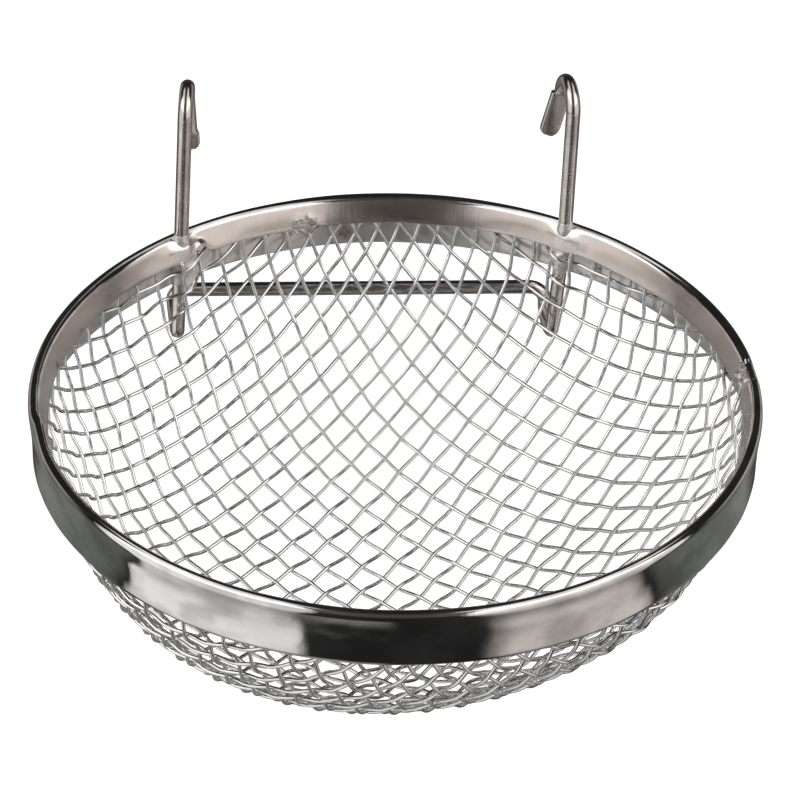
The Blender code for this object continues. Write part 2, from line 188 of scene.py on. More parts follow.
def layered(base, points, layers, seed=0):
    """A base value with layers of noise added, each of its own height, wavelength and seed."""
    total = base
    for height, wavelength, own_seed in layers:
        total = total + height * noise_at(points, wavelength, own_seed + seed)
    return total


def make_piece(name, mesh, material, replaced=None):
    """Adds a piece whose mesh is in the rim's frame."""
    piece = bpy.data.objects.new(name, mesh)
    piece.location = RIM_ORIGIN
    bpy.context.scene.collection.objects.link(piece)
    mesh.materials.append(material)
    mesh.shade_smooth()
    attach(piece, "root")
    if replaced:
        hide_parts(replaced)


def grid_faces(rows, columns, close_rows):
    """Quads over a grid of points whose columns close into rings."""
    last = rows if close_rows else rows - 1
    a = np.arange(last)[:, None] * columns + np.arange(columns)
    right = np.arange(last)[:, None] * columns + (np.arange(columns) + 1) % columns
    step = (np.arange(last) + 1) % rows
    b = step[:, None] * columns + np.arange(columns)
    far = step[:, None] * columns + (np.arange(columns) + 1) % columns
    return np.stack([a, right, far, b], axis=-1).reshape(-1, 4)


def ring_mesh(name, rings, close=False, lengths=None):
    """A mesh through rings of points, with a UV map of distance along and share around."""
    rings = np.asarray(rings)
    rows, columns = rings.shape[:2]
    faces = grid_faces(rows, columns, close).tolist()
    if not close:
        faces.append(list(range(columns))[::-1])
        faces.append(list(range((rows - 1) * columns, rows * columns)))
    mesh = bpy.data.meshes.new(name)
    mesh.from_pydata(rings.reshape(-1, 3).tolist(), [], faces)
    if lengths is None:
        steps = np.linalg.norm(np.diff(rings.mean(axis=1), axis=0), axis=1)
        lengths = np.concatenate([[0], np.cumsum(steps)])
    along = np.repeat(lengths, columns)
    around = np.tile(np.arange(columns) / columns, rows)
    corners = np.zeros(len(mesh.loops), int)
    mesh.loops.foreach_get("vertex_index", corners)
    uv = mesh.uv_layers.new(name="length")
    uv.data.foreach_set("uv", np.stack([along[corners] / MM, around[corners]], axis=-1).ravel())
    return mesh


def tube_rings(line, first_side, radius, sides):
    """Rings along a line of points, kept from twisting."""
    line = np.asarray(line)
    ahead = np.gradient(line, axis=0)
    ahead /= np.linalg.norm(ahead, axis=1)[:, None]
    angles = np.arange(sides) * math.tau / sides
    side = np.asarray(first_side, float)
    rings = []
    for point, along in zip(line, ahead):
        side = side - along * side.dot(along)
        side /= np.linalg.norm(side)
        across = np.cross(along, side)
        rings.append(point + np.outer(np.cos(angles) * radius, side)
                     + np.outer(np.sin(angles) * radius, across))
    return np.array(rings)


# Materials


class Nodes:
    """Short calls that add nodes to a tree."""

    def __init__(self, tree):
        self.tree = tree

    def add(self, kind, inputs=None, **settings):
        made = self.tree.nodes.new(kind)
        for name, value in settings.items():
            setattr(made, name, value)
        for name, value in (inputs or {}).items():
            if isinstance(value, bpy.types.NodeSocket):
                self.tree.links.new(value, made.inputs[name])
            else:
                made.inputs[name].default_value = value
        return made

    def math(self, operation, a, b=0.0):
        return self.add("ShaderNodeMath", {0: a, 1: b}, operation=operation).outputs[0]

    def ramp(self, value, low, high, to_low=0.0, to_high=1.0):
        inputs = {
            "Value": value, "From Min": low, "From Max": high, "To Min": to_low, "To Max": to_high,
        }
        return self.add("ShaderNodeMapRange", inputs, interpolation_type="SMOOTHSTEP").outputs[0]

    def noise(self, vector, scale, detail=3.0, rough=0.55):
        inputs = {"Vector": vector, "Scale": scale, "Detail": detail, "Roughness": rough}
        return self.add("ShaderNodeTexNoise", inputs).outputs["Fac"]

    def mix(self, share, a, b):
        return self.add("ShaderNodeMix", {0: share, 6: a, 7: b}, data_type="RGBA").outputs[2]

    def stretched(self, source, scale):
        return self.add("ShaderNodeMapping", {"Vector": source, "Scale": scale}).outputs[0]


def new_metal(name):
    material = bpy.data.materials.new(name)
    material.use_nodes = True
    nodes = Nodes(material.node_tree)
    shader = material.node_tree.nodes["Principled BSDF"]
    shader.inputs["Metallic"].default_value = 1
    coords = nodes.add("ShaderNodeTexCoord")
    return material, nodes, shader, coords.outputs["Object"], coords.outputs["UV"]


def dress(nodes, shader, colour, rough, relief, strength, depth):
    """Gives a metal its colour, roughness and fine relief."""
    inputs = {"Strength": strength, "Distance": depth, "Height": relief}
    bump = nodes.add("ShaderNodeBump", inputs).outputs[0]
    for name, socket in (("Base Color", colour), ("Roughness", rough), ("Normal", bump)):
        nodes.tree.links.new(socket, shader.inputs[name])


def stain_mask(nodes, place, stains):
    """How stained each point is, from (point, radius, strength) patches broken up by noise."""
    broken = nodes.ramp(nodes.noise(place, scale=900.0, detail=4.0, rough=0.7), 0.35, 0.65)
    total = None
    for point, radius, strength in stains:
        inputs = {0: place, 1: point}
        away = nodes.add("ShaderNodeVectorMath", inputs, operation="DISTANCE").outputs["Value"]
        patch = nodes.ramp(away, radius, STAIN_CORE * radius, 0.0, strength)
        total = patch if total is None else nodes.math("MAXIMUM", total, patch)
    return nodes.math("MULTIPLY", total, broken)


def rim_point(azimuth, radius, height):
    angle = math.radians(azimuth)
    return (radius * MM * math.cos(angle), radius * MM * math.sin(angle), height * MM)


# Burnt flux: middle and radius of each patch, and how strongly it colours
STAINS = [
    (rim_point(123.2, 53.0, -0.6), 1.5 * MM, 1.0),
    (rim_point(123.0, 54.2, -1.4), 1.9 * MM, 1.0),
    (rim_point(126.5, 52.0, -4.5), 2.2 * MM, 0.5),
    (rim_point(95.6, 54.0, -5.7), 1.7 * MM, 1.0),
    (rim_point(48.8, 53.7, -4.4), 1.2 * MM, 1.0),
    (rim_point(46.8, 53.7, -5.0), 1.1 * MM, 0.9),
    (rim_point(12.0, 53.2, -5.0), 2.4 * MM, 0.9),
    (rim_point(6.0, 53.2, -5.7), 2.2 * MM, 0.8),
    (rim_point(4.0, 52.8, -0.5), 1.8 * MM, 0.8),
    (rim_point(166.2, 52.3, -1.9), 0.9 * MM, 1.0),
    (rim_point(144.8, 52.4, -1.2), 0.4 * MM, 1.0),
    (rim_point(144.8, 52.25, -1.9), 0.45 * MM, 1.0),
    (rim_point(144.8, 52.1, -2.6), 0.45 * MM, 1.0),
    (rim_point(154.9, 52.2, -2.2), 0.55 * MM, 0.8),
]
# Thin solder wiped over the lip
SMEARS = [
    (rim_point(56.0, 52.3, -0.2), 3.2 * MM, 1.0),
    (rim_point(52.0, 52.5, -1.0), 2.6 * MM, 0.8),
    (rim_point(127.5, 52.2, -0.6), 2.6 * MM, 0.9),
    (rim_point(103.4, 52.3, -1.6), 2.6 * MM, 0.9),
]
# Share of a patch's radius that has its full strength
STAIN_CORE = 0.25
STAIN_ROUGHNESS = 0.5
SMEAR_ROUGHNESS = 0.4

# Tones, and the lowest and highest roughness
FLUX_BROWN = (0.20, 0.085, 0.025, 1)
SMEARED_TIN = (0.92, 0.90, 0.89, 1)
BRIGHT_TIN = (0.94, 0.92, 0.91, 1)
BURNT_TIN = (0.34, 0.24, 0.17, 1)
BRIGHT_SHEET = (0.92, 0.91, 0.90, 1)
# Darker plate colour laid on in cloudy patches: painted reflections of the sheet's shallow waves
DIM_PAINTED_REFLECTION = (0.64, 0.63, 0.62, 1)
SHEET_ROUGHNESS = (0.03, 0.09)
TIN_ROUGHNESS = (0.55, 0.4)
LIP_PLATE = {
    "light": (0.84, 0.77, 0.72, 1),
    "dark": (0.68, 0.61, 0.565, 1),
    "roughness": (0.16, 0.27),
}
INNER_PLATE = {
    "light": (0.90, 0.87, 0.85, 1),
    "dark": (0.80, 0.76, 0.73, 1),
    "roughness": (0.26, 0.36),
}
# Wires also have drawing streaks: how many go round the wire, and how deep they are
CLOTH_PLATE = {
    "light": (0.93, 0.945, 0.955, 1),
    "dark": (0.76, 0.76, 0.76, 1),
    "roughness": (0.03, 0.07),
    "streaks": 3.0,
    "depth": 0.008 * MM,
}
HANGER_PLATE = {
    "light": (0.78, 0.735, 0.71, 1),
    "dark": (0.58, 0.535, 0.505, 1),
    "roughness": (0.15, 0.22),
    "streaks": 14.0,
    "depth": 0.0003 * MM,
}


def polished_sheet():
    """Bright nickel plate on the rim's outside and bead, its colour clouded with painted
    reflections of the sheet's waves.
    """
    material, nodes, shader, place, length = new_metal("polished_sheet")
    # Cloudy darker patches in the colour: painted reflections of the sheet's shallow waves
    cloud = nodes.noise(nodes.stretched(place, (1.0, 1.0, 1.6)), scale=120.0, detail=3.0)
    tone = nodes.mix(nodes.ramp(cloud, 0.38, 0.64), BRIGHT_SHEET, DIM_PAINTED_REFLECTION)
    stained = stain_mask(nodes, place, STAINS)
    colour = nodes.mix(stained, tone, FLUX_BROWN)
    along = nodes.stretched(length, (0.25, 60.0, 1.0))
    scratches = nodes.noise(along, scale=6.0, detail=5.0, rough=0.7)
    rough = nodes.ramp(scratches, 0.3, 0.75, *SHEET_ROUGHNESS)
    rough = nodes.math("MAXIMUM", rough, nodes.math("MULTIPLY", stained, STAIN_ROUGHNESS))
    ripple = nodes.noise(place, scale=420.0, detail=2.0)
    dress(nodes, shader, colour, rough, ripple, strength=0.05, depth=0.2 * MM)
    return material


def brushed_sheet(name, light, dark, roughness):
    """The same plate scuffed by the folding tool, on the lip and inside the fold."""
    material, nodes, shader, place, length = new_metal(name)
    tone = nodes.mix(nodes.noise(place, scale=220.0, detail=5.0, rough=0.6), light, dark)
    smeared = stain_mask(nodes, place, SMEARS)
    tone = nodes.mix(smeared, tone, SMEARED_TIN)
    colour = nodes.mix(stain_mask(nodes, place, STAINS), tone, FLUX_BROWN)
    along = nodes.stretched(length, (3.0, 5.0, 1.0))
    hairs = nodes.noise(along, scale=1.0, detail=4.0, rough=0.7)
    rough = nodes.ramp(hairs, 0.25, 0.8, *roughness)
    rough = nodes.math("MAXIMUM", rough, nodes.math("MULTIPLY", smeared, SMEAR_ROUGHNESS))
    dress(nodes, shader, colour, rough, hairs, strength=0.15, depth=0.04 * MM)
    return material


def drawn_wire(name, light, dark, roughness, streaks, depth):
    """Plated wire with drawing streaks along its length."""
    material, nodes, shader, place, length = new_metal(name)
    along = nodes.stretched(length, (0.06, streaks, 1.0))
    lines = nodes.noise(along, scale=3.0, detail=4.0, rough=0.65)
    cloud = nodes.noise(place, scale=260.0, detail=3.0)
    tone = nodes.mix(nodes.ramp(nodes.math("ADD", lines, cloud), 0.75, 1.25), light, dark)
    colour = nodes.mix(stain_mask(nodes, place, STAINS), tone, FLUX_BROWN)
    rough = nodes.ramp(lines, 0.3, 0.75, *roughness)
    dress(nodes, shader, colour, rough, lines, strength=0.3, depth=depth)
    return material


def solder_metal():
    """Dull tin solder, lumpy and crinkled, with burnt flux in its hollows."""
    material, nodes, shader, place, _ = new_metal("solder_tin")
    lumps = nodes.noise(place, scale=1500.0, detail=5.0, rough=0.65)
    tone = nodes.mix(nodes.ramp(lumps, 0.2, 0.38), BURNT_TIN, BRIGHT_TIN)
    colour = nodes.mix(stain_mask(nodes, place, STAINS), tone, FLUX_BROWN)
    rough = nodes.ramp(lumps, 0.3, 0.7, *TIN_ROUGHNESS)
    dress(nodes, shader, colour, rough, lumps, strength=0.5, depth=0.2 * MM)
    return material


# Rim


def rim_outline():
    """Radius, height and part of the strip round its fold, as two skins half a sheet apart."""
    half = SHEET / 2
    corner = CREST_RISE - CORNER_HEIGHT
    fold = FOLD_RADIUS - half
    line = []
    for share in np.linspace(0, 1, WALL_ROWS, endpoint=False):
        height = WALL_BOTTOM + half + share * (corner - WALL_BOTTOM - half)
        flare = (RIM_RADIUS - half - WALL_MIDDLE) * share**WALL_FLARE
        line.append((WALL_MIDDLE + flare, height, WALL))
    for angle in np.radians(np.arange(0, 90, CORNER_STEP_DEGREES)):
        out = (CORNER_WIDTH - half) * math.cos(angle)
        line.append((CREST + out, corner + (CORNER_HEIGHT - half) * math.sin(angle), BEAD))
    for angle in np.linspace(0, LIP_SLOPE, FOLD_ROWS, endpoint=False):
        height = CREST_RISE - half - fold * (1 - math.cos(angle))
        line.append((CREST - fold * math.sin(angle), height, BEAD))
    lip_start = CREST - fold * math.sin(LIP_SLOPE)
    lip_top = CREST_RISE - half - fold * (1 - math.cos(LIP_SLOPE))
    for share in np.linspace(0, 1, LIP_ROWS):
        drop = share * (lip_top + LIP_DROP - half)
        reach = drop / math.tan(LIP_SLOPE) * (1 - LIP_CURL * share)
        line.append((lip_start - reach, lip_top - drop, LIP))
    line = np.array(line)
    ahead = np.gradient(line[:, :2], axis=0)
    ahead /= np.linalg.norm(ahead, axis=1)[:, None]
    across = np.stack([ahead[:, 1], -ahead[:, 0]], axis=-1)
    outer = np.column_stack([line[:, :2] + across * half, line[:, 2]])
    inner = np.column_stack([line[:, :2] - across * half, line[:, 2]])
    ends = []
    for row, turn in ((-1, 1), (0, -1)):
        end = []
        for angle in END_ANGLES:
            round_end = turn * (across[row] * math.cos(angle) + ahead[row] * math.sin(angle))
            end.append([*(line[row, :2] + round_end * half), line[row, 2]])
        ends.append(end)
    lip_end, wall_end = ends
    return np.array([*outer, *lip_end, *inner[::-1], *wall_end])


# A distance for points on the far side of the rim
FAR_AWAY = 1.0


def beside_upright(x, y, side):
    """Distance sideways of an upright, as seen from the rim's axis."""
    away = np.abs(UPRIGHT_X[side] * y - UPRIGHT_Y[side] * x) / UPRIGHT_RING[side]
    ahead = UPRIGHT_X[side] * x + UPRIGHT_Y[side] * y
    return np.where(ahead > 0, away, FAR_AWAY)


LIP_BULGE = {"left": 1.1 * MM, "right": 0.85 * MM}
LIP_BULGE_WIDTH = 2.2 * MM
LIP_BULGE_FADE = 0.55
# How far inside the crest the lip begins to follow its bulges and the seam
INSIDE_CREST = (0.7 * MM, 1.5 * MM)

# Waves in the strip: height, wavelength, share of a point's height that counts, and seed
WALL_WAVE = (0.12 * MM, 13 * MM, 0.8, 1)
WALL_RIPPLE = (0.045 * MM, 4.5 * MM, 1.0, 2)
LIP_WAVE = (0.22 * MM, 9 * MM, 0.3, 3)
LIP_EDGE_WAVE = (0.3 * MM, 6 * MM, 0.1, 4)
BEAD_WAVE = (0.05 * MM, 10 * MM, 0.1, 5)
WALL_WAVE_DEPTHS = (0.5 * MM, 3 * MM)

# Damage: azimuths and widths in degrees, depths as shares of the lip's drop
NOTCH_AZIMUTH, NOTCH_WIDTH, NOTCH_DEPTH, NOTCH_FULLNESS = 123.2, 1.2, 0.7, 0.6
TORN_AZIMUTH, TORN_WIDTH, TORN_DEPTH = 102.3, 2.2, 0.5
TORN_WAVELENGTH, TORN_SEED = 0.9 * MM, 6
KINK_AZIMUTH, KINK_EDGE, KINK_LENGTH, KINK_PUSH = 186.2, 2, 12, 0.35 * MM
SEAM_START, SEAM_END, SEAM_EDGE_OUTSIDE, SEAM_EDGE_INSIDE = 1.2, 6.2, 0.5, 0.3
SEAM_DEPTH, SEAM_GAPE, SEAM_SAG = 0.85, 0.8 * MM, 0.3 * MM


def bump_at(azimuths, middle, width):
    away = (azimuths - middle + 180) % 360 - 180
    return np.exp(-((away / width) ** 2))


def waves(place, height, wavelength, height_share, seed):
    return height * noise_at(place * (1, 1, height_share), wavelength, seed)


def make_rim(polished, lip_plate, inner_plate):
    outline = rim_outline()
    azimuths = np.arange(RIM_SEGMENTS) * 360 / RIM_SEGMENTS
    around = azimuths[:, None]
    turn = np.radians(around)
    radius = np.broadcast_to(outline[:, 0], (RIM_SEGMENTS, len(outline))).copy()
    height = np.broadcast_to(outline[:, 1], radius.shape).copy()
    kind = np.broadcast_to(outline[:, 2], radius.shape)
    place = np.stack([radius * np.cos(turn), radius * np.sin(turn), height], axis=-1)
    # Hammered waves in the wall, and a lip that was folded by hand
    wall = smooth_step(-height, *WALL_WAVE_DEPTHS) * (kind == WALL)
    radius += wall * (waves(place, *WALL_WAVE) + waves(place, *WALL_RIPPLE))
    down_lip = (kind == LIP) * np.clip(-height / LIP_DROP, 0, 1)
    lip = (kind == LIP) * smooth_step(-height, 0, LIP_DROP)
    radius += lip * waves(place, *LIP_WAVE)
    height += lip * waves(place, *LIP_EDGE_WAVE)
    bead = (kind == BEAD) * 1.0
    height += bead * waves(place, *BEAD_WAVE)
    # The lip stands out over the uprights, with a hole burnt beside the left one
    inside = smooth_step(CREST - outline[:, 0], *INSIDE_CREST)
    for side in SIDES:
        sideways = beside_upright(place[..., 0], place[..., 1], side)
        over_wire = np.exp(-((sideways / LIP_BULGE_WIDTH) ** 2)) * inside
        fade = 1 - LIP_BULGE_FADE * smooth_step(-height, 0, LIP_DROP)
        radius -= over_wire * fade * LIP_BULGE[side]
    notch = bump_at(around, NOTCH_AZIMUTH, NOTCH_WIDTH) ** NOTCH_FULLNESS
    height += down_lip * NOTCH_DEPTH * LIP_DROP * notch
    # A torn stretch of lip, a kink in the bead, and the open seam where the strip's ends meet
    ragged = 0.5 + 0.5 * noise_at(place * (1, 1, 0), TORN_WAVELENGTH, TORN_SEED)
    torn = bump_at(around, TORN_AZIMUTH, TORN_WIDTH)
    height += down_lip * TORN_DEPTH * LIP_DROP * ragged * torn
    kink = smooth_step(around, KINK_AZIMUTH - KINK_EDGE, KINK_AZIMUTH + KINK_EDGE)
    kink = kink * smooth_step(around, KINK_AZIMUTH + KINK_LENGTH, KINK_AZIMUTH + KINK_EDGE)
    radius -= bead * KINK_PUSH * kink
    seam = smooth_step(around, SEAM_START - SEAM_EDGE_OUTSIDE, SEAM_START + SEAM_EDGE_INSIDE)
    seam = seam * smooth_step(around, SEAM_END + SEAM_EDGE_OUTSIDE, SEAM_END - SEAM_EDGE_INSIDE)
    height += down_lip * SEAM_DEPTH * LIP_DROP * seam
    radius += (bead + lip) * inside * SEAM_GAPE * seam
    height -= bead * SEAM_SAG * seam
    rings = np.stack([radius * np.cos(turn), radius * np.sin(turn), height], axis=-1)[:, ::-1]
    lengths = np.radians(azimuths) * RIM_RADIUS
    mesh = ring_mesh("rim_strip", rings, close=True, lengths=lengths)
    make_piece("rim_strip", mesh, polished, "rim_band")
    mesh.materials.append(lip_plate)
    mesh.materials.append(inner_plate)
    # The lip takes the second material on both skins, and the inner skin elsewhere the third
    rows = outline[::-1]
    skin = np.where(np.arange(len(rows)) < len(rows) // 2, 2, 0)
    slots = np.where(rows[:, 2] == LIP, 1, skin)
    faces = np.arange(len(mesh.polygons))
    mesh.polygons.foreach_set("material_index", slots[faces % len(rows)].tolist())


# Wire cloth

MERIDIAN_STEPS = 2000
MERIDIAN_BEYOND = 20 * MM
# Repeats of the searches for points, and when a cell of the cloth is given up
CLOTH_PASSES = 4
CORNER_PASSES = 12
FLAT_CELL = 1e-16
MISSED_CELL = 1e-10
SHORT_CELL = 0.3
SPARE_CROSSINGS = 2
HIGHEST_CROSSING = 12 * MM


def cloth_shape(points):
    """How far outside the cloth's middle points are, as a share, and how steeply that grows."""
    x, y, z = np.moveaxis(points, -1, 0)
    out = np.hypot(x, y)
    deep = np.maximum(-z - WEAVE_EDGE_DEPTH, 0)
    share = (out / CLOTH_EDGE_RADIUS) ** 2 + (deep / BOWL_DEPTH) ** 2 - 1
    steep = [2 * x / CLOTH_EDGE_RADIUS**2, 2 * y / CLOTH_EDGE_RADIUS**2, -2 * deep / BOWL_DEPTH**2]
    return share, np.stack(steep, axis=-1)


def on_cloth(points):
    """Points moved straight onto the cloth's middle surface."""
    for _ in range(CLOTH_PASSES):
        share, steep = cloth_shape(points)
        points = points - steep * (share / np.sum(steep**2, axis=-1))[..., None]
    return points


def outwards(points):
    steep = cloth_shape(points)[1]
    return steep / np.linalg.norm(steep, axis=-1)[..., None]


def meridian():
    """Length, radius and height along the bowl's curve and past it, and the curve's own length."""
    turn = np.linspace(0, math.pi / 2, MERIDIAN_STEPS)
    radius = CLOTH_EDGE_RADIUS * np.sin(turn)
    height = -WEAVE_EDGE_DEPTH - BOWL_DEPTH * np.cos(turn)
    length = np.concatenate([[0], np.cumsum(np.hypot(np.diff(radius), np.diff(height)))])
    return (np.append(length, length[-1] + MERIDIAN_BEYOND), np.append(radius, radius[-1]),
            np.append(height, height[-1] + MERIDIAN_BEYOND), length[-1])


def far_corner(a, b, shared, pitch):
    """The crossing that closes a cell of the cloth: one pitch from each neighbour, on the bowl."""
    scale = CLOTH_EDGE_RADIUS**2
    spot = a + b - shared
    for _ in range(CORNER_PASSES):
        share, steep = cloth_shape(spot)
        from_a, from_b = spot - a, spot - b
        rows = np.array([2 * from_a, 2 * from_b, steep * scale])
        if abs(np.linalg.det(rows)) < FLAT_CELL:
            return None
        miss = [from_a.dot(from_a) - pitch["warp"] ** 2, from_b.dot(from_b) - pitch["weft"] ** 2,
                share * scale]
        spot = spot - np.linalg.solve(rows, miss)
    too_short = np.linalg.norm(spot - shared) < SHORT_CELL * pitch["weft"]
    if np.abs(miss).max() > MISSED_CELL or too_short:
        return None
    return spot


def weave_crossings(last):
    """Crossings of the two families, out to some past the last wires."""
    length, radius, height, whole = meridian()
    axes = {"warp": np.array([math.cos(WEAVE_ANGLE), math.sin(WEAVE_ANGLE), 0])}
    axes["weft"] = np.array([-math.sin(WEAVE_ANGLE), math.cos(WEAVE_ANGLE), 0])
    woven = whole - EDGE_STRIP
    pitch = {"warp": woven / last["weft"], "weft": woven / last["warp"]}
    reach = {"warp": last["weft"] + SPARE_CROSSINGS, "weft": last["warp"] + SPARE_CROSSINGS}
    found = {}
    for family, axis in axes.items():
        for k in range(-reach[family], reach[family] + 1):
            away = abs(k) * pitch[family]
            place = axis * np.sign(k) * np.interp(away, length, radius)
            place[2] = np.interp(away, length, height)
            found[(k, 0) if family == "warp" else (0, k)] = place
    for i_sign, j_sign in ((1, 1), (1, -1), (-1, 1), (-1, -1)):
        for i in range(1, reach["warp"] + 1):
            for j in range(1, reach["weft"] + 1):
                a = found.get((i_sign * (i - 1), j_sign * j))
                b = found.get((i_sign * i, j_sign * (j - 1)))
                shared = found.get((i_sign * (i - 1), j_sign * (j - 1)))
                if a is None or b is None or shared is None:
                    continue
                corner = far_corner(a, b, shared, pitch)
                if corner is not None and corner[2] < HIGHEST_CROSSING:
                    found[i_sign * i, j_sign * j] = corner
    return found


def wandered(points):
    """Points of the cloth shifted a little, as in cloth that was pressed by hand."""
    moved = points.copy()
    for wavelength, reach in WANDER.items():
        for axis in range(2):
            moved[:, axis] += reach * noise_at(points, wavelength, WANDER_SEED + axis)
    return on_cloth(moved)


def dented(points):
    """Points of the cloth pushed inwards in front of the uprights, and how far."""
    middle = on_cloth(points)
    out = np.hypot(middle[:, 0], middle[:, 1])
    push = np.zeros(len(points))
    for side in SIDES:
        in_front = UPRIGHT_RING[side] - HANGER_RADIUS - CRIMP["warp"] - WIRE_RADIUS - DENT_GAP
        sideways = beside_upright(middle[:, 0], middle[:, 1], side)
        dent = np.maximum(0, out - in_front) * np.exp(-((sideways / DENT_WIDTH) ** 2))
        push = np.maximum(push, dent)
    moved = points.copy()
    moved[:, :2] -= middle[:, :2] / np.maximum(out, MM)[:, None] * push[:, None]
    return moved, push


def wire_line(lane, crimp):
    """The crimped middle line of a wire through its crossings, cut where the rim's fold ends it."""
    numbers = [0]
    for direction in (1, -1):
        k = direction
        while k in lane:
            numbers.append(k)
            k += direction
    numbers.sort()
    knots = wandered(np.array([lane[k] for k in numbers]))
    padded = np.vstack([2 * knots[0] - knots[1], knots, 2 * knots[-1] - knots[-2]])
    t = (np.arange(CRIMP_STEPS) / CRIMP_STEPS)[:, None]
    spots = []
    waved = []
    for k in range(len(knots) - 1):
        # A smooth curve through each knot, bent towards the next ones
        p0, p1, p2, p3 = padded[k:k + 4]
        spots.append(0.5 * (2 * p1 + (p2 - p0) * t + (2 * p0 - 5 * p1 + 4 * p2 - p3) * t**2
                            + (3 * p1 - p0 - 3 * p2 + p3) * t**3))
        waved.append(crimp * (-1) ** (numbers[k] % 2) * np.cos(math.pi * t))
    spots = on_cloth(np.vstack(spots))
    pinched = smooth_step(spots[:, 2], *PINCH_HEIGHTS)[:, None]
    rise = np.vstack(waved) * (1 - PINCHED_CRIMP * pinched) - PINCH * pinched
    line, push = dented(spots - outwards(spots) * rise)
    end_depth = np.where(push > DENT_START, WIRE_END_DEPTH_BY_UPRIGHT, WIRE_END_DEPTH)
    clear = line[:, 2] < -end_depth
    line[:, 0] -= BOWL_LEAN * smooth_step(-line[:, 2], *BOWL_LEAN_DEPTHS)
    first = final = numbers.index(0) * CRIMP_STEPS
    while first > 0 and clear[first - 1]:
        first -= 1
    while final + 1 < len(line) and clear[final + 1]:
        final += 1
    return line[first:final + 1]


def make_cloth(material):
    last = {family: count // 2 for family, count in WIRE_COUNT.items()}
    crossings = weave_crossings(last)
    for family in ("warp", "weft"):
        whole = last[family] - FUSED_WIRE_COUNT
        for number in range(-last[family], last[family] + 1):
            lane = {}
            for (i, j), place in crossings.items():
                if (j if family == "warp" else i) == number:
                    lane[i if family == "warp" else j] = place
            side = (1 if family == "warp" else -1) * (-1) ** (number % 2)
            line = wire_line(lane, side * CRIMP[family])
            rings = tube_rings(line, outwards(line[0]), WIRE_RADIUS, WIRE_SIDES)
            if abs(number) <= whole:
                node = f"{family}_wire_{number + whole + 1:02d}"
                name = f"{node}_round"
            else:
                node = None
                name = f"{family}_edge_wire_{number + last[family] + 1:02d}"
            make_piece(name, ring_mesh(name, rings), material, node)


# Hanger


def arc(centre, start, finish, sweep, steps):
    angles = np.linspace(0, sweep, steps)
    return centre + np.outer(np.cos(angles), start) + np.outer(np.sin(angles), finish)


def straight(start, finish, step):
    count = max(2, round(np.linalg.norm(finish - start) / step))
    return start + (finish - start) * (np.arange(1, count) / count)[:, None]


def lean_at(height, side):
    """How far to the right the hanger's lean puts it at a height over the bead's widest."""
    above, below = math.tan(LEAN_ABOVE_RIM[side]), math.tan(LEAN_BELOW_RIM[side])
    return height * np.where(height > 0, above, below)


def hanger_half(side):
    """Rings along half the hanger, from the crossbar's middle to a hook's flattened tip."""
    sign = SIDES[side]
    up = np.array([0, 0, 1.0])
    outside = np.array([sign, 0, 0.0])
    rear = np.array([0, 1.0, 0])
    upright = np.array([UPRIGHT_X[side], UPRIGHT_Y[side], 0])
    # Half the crossbar, the turn at its end and the bend that brings it to the upright
    bend_reach = (CROSSBAR_Y - UPRIGHT_Y[side]) / 2
    corner_radius = CROSSBAR_BEND_RADIUS[side]
    bend_z = -CROSSBAR_DEPTH[side] - corner_radius
    corner = np.array([UPRIGHT_X[side] - sign * corner_radius, CROSSBAR_Y, bend_z])
    middle_x, middle_depth = sum(UPRIGHT_X.values()) / 2, sum(CROSSBAR_DEPTH.values()) / 2
    start = np.array([middle_x, CROSSBAR_Y, -middle_depth])
    turn = arc(corner, up * corner_radius, outside * corner_radius, math.pi / 2, TURN_STEPS)
    bend_centre = upright + rear * bend_reach + up * bend_z
    bend = arc(bend_centre, rear * bend_reach, -up * LOWER_BEND_DROP[side], math.pi, BEND_STEPS)
    # The hook's arch and its leg
    toe = np.array([-sign * math.sin(HOOK_TOE[side]), math.cos(HOOK_TOE[side]), 0])
    arch_rise = HOOK_RISE[side] - HANGER_RADIUS - HOOK_RADIUS + HOOK_BASE
    arch_centre = upright + toe * HOOK_RADIUS + up * arch_rise
    arch = arc(arch_centre, -toe * HOOK_RADIUS, up * HOOK_RADIUS, math.pi, ARCH_STEPS)
    tip = upright + toe * 2 * HOOK_RADIUS + up * HOOK_TIP_RISE[side] - outside * LEG_SPREAD[side]
    leg = straight(arch[-1], tip, LEG_STEP)
    crossbar = straight(start, turn[0], ROD_STEP)
    rise = straight(bend[-1], arch[0], ROD_STEP)
    line = np.vstack([start[None], crossbar, turn, bend[1:], rise, arch, leg])
    line[:, 0] += lean_at(line[:, 2], side)
    behind = (line[:, 1] - UPRIGHT_Y[side]) / (CROSSBAR_Y - UPRIGHT_Y[side])
    line[:, 0] -= LOOP_SKEW * behind * (line[:, 2] < 0)
    rings = tube_rings(line, rear, HANGER_RADIUS, HANGER_SIDES)
    # The leg ends in a flattened, rounded paddle
    above_tip = line[-len(leg):, 2] - HOOK_TIP_RISE[side]
    half_width = PADDLE_HALF_WIDTH[side]
    flat = smooth_step(above_tip, PADDLE_LENGTH[side], PADDLE_LENGTH[side] - PADDLE_TAPER)
    from_end = np.clip(above_tip / half_width, 0, 1)
    rounding = np.sqrt(np.clip(1 - (1 - from_end) ** 2, PADDLE_END_SHARE, 1))
    wider = (1 + (half_width / HANGER_RADIUS - 1) * flat) * rounding - 1
    limit = (HANGER_RADIUS + (PADDLE_HALF_THICKNESS - HANGER_RADIUS) * flat) * np.sqrt(rounding)
    wide = np.cross(toe, up)
    spokes = rings[-len(leg):] - line[-len(leg):, None]
    thick = spokes.dot(toe)
    thinner = np.clip(thick, -limit[:, None], limit[:, None]) - thick
    widened = spokes.dot(wide)[..., None] * wide * wider[:, None, None]
    rings[-len(leg):] += widened + thinner[..., None] * toe
    return rings


